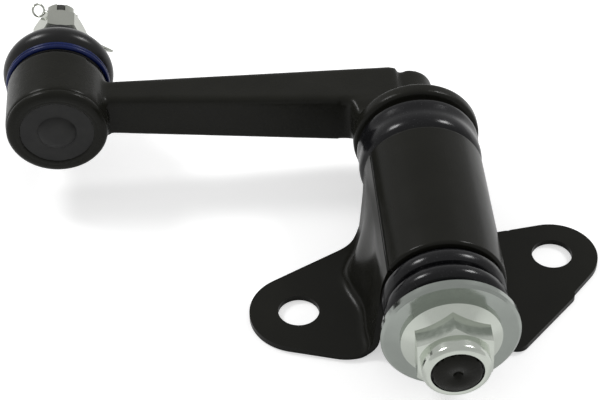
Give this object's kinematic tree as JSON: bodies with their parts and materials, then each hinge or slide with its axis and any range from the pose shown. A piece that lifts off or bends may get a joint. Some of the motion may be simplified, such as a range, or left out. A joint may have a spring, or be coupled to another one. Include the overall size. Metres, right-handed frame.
{
  "type": "steering idler arm",
  "caption": "Idler arm with a two-eared mounting bracket, a bushed pivot barrel and a ball joint with dust boot, castle nut and cotter pin.",
  "frame": {"origin": "on the bracket's mounting face, midway between the two bolt holes", "axes": "+Z out of the mounting face towards the pivot barrel, +Y along the pivot from its lock nut to the arm, +X square to both; the row of bolt holes is turned 13 degrees from +X"},
  "size_m": [0.2061, 0.1915, 0.0525],
  "materials": {
    "black_paint": "satin black paint on steel",
    "forged_black": "satin black paint on a forging",
    "bush_rubber": "glossy black",
    "zinc": "bright zinc plate",
    "nylon": "black nylon",
    "seat_plastic": "natural plastic",
    "stud_steel": "bright steel",
    "boot_rubber": "satin black",
    "blue_ring": "glossy dark blue",
    "ring_steel": "dark spring steel"
  },
  "bodies": {
    "bracket": {"mounting_bracket": "black_paint", "pivot_tube": "black_paint", "nut_end_bush": "bush_rubber", "arm_end_bush": "bush_rubber"},
    "arm": {"idler_arm": "forged_black", "thick_washer": "zinc", "flange_lock_nut": "zinc", "lock_nut_insert": "nylon", "ball_joint_end_cap": "black_paint", "ball_seat": "seat_plastic", "dust_boot": "boot_rubber", "boot_base_ring": "blue_ring"},
    "boot_top": {"boot_neck_ring": "ring_steel"},
    "stud": {"ball_stud": "stud_steel", "castle_nut": "zinc", "cotter_pin": "zinc"}
  },
  "joints": [
    {"name": "arm_swing", "type": "hinge", "parent": "bracket", "child": "arm", "pos_m": [0.0006, 0, 0.028], "axis": [0, 1, 0], "range_deg": [-40, 40]},
    {"name": "stud_tilt", "type": "hinge", "parent": "arm", "child": "boot_top", "pos_m": [-0.12522, 0.0667, 0.03239], "axis": [0.9994, 0, -0.0349], "range_deg": [-18, 18], "deforming": ["dust_boot"]},
    {"name": "stud_spin", "type": "hinge", "parent": "boot_top", "child": "stud", "pos_m": [-0.12522, 0.0667, 0.03239], "axis": [0, 1, 0], "continuous": true}
  ]
}
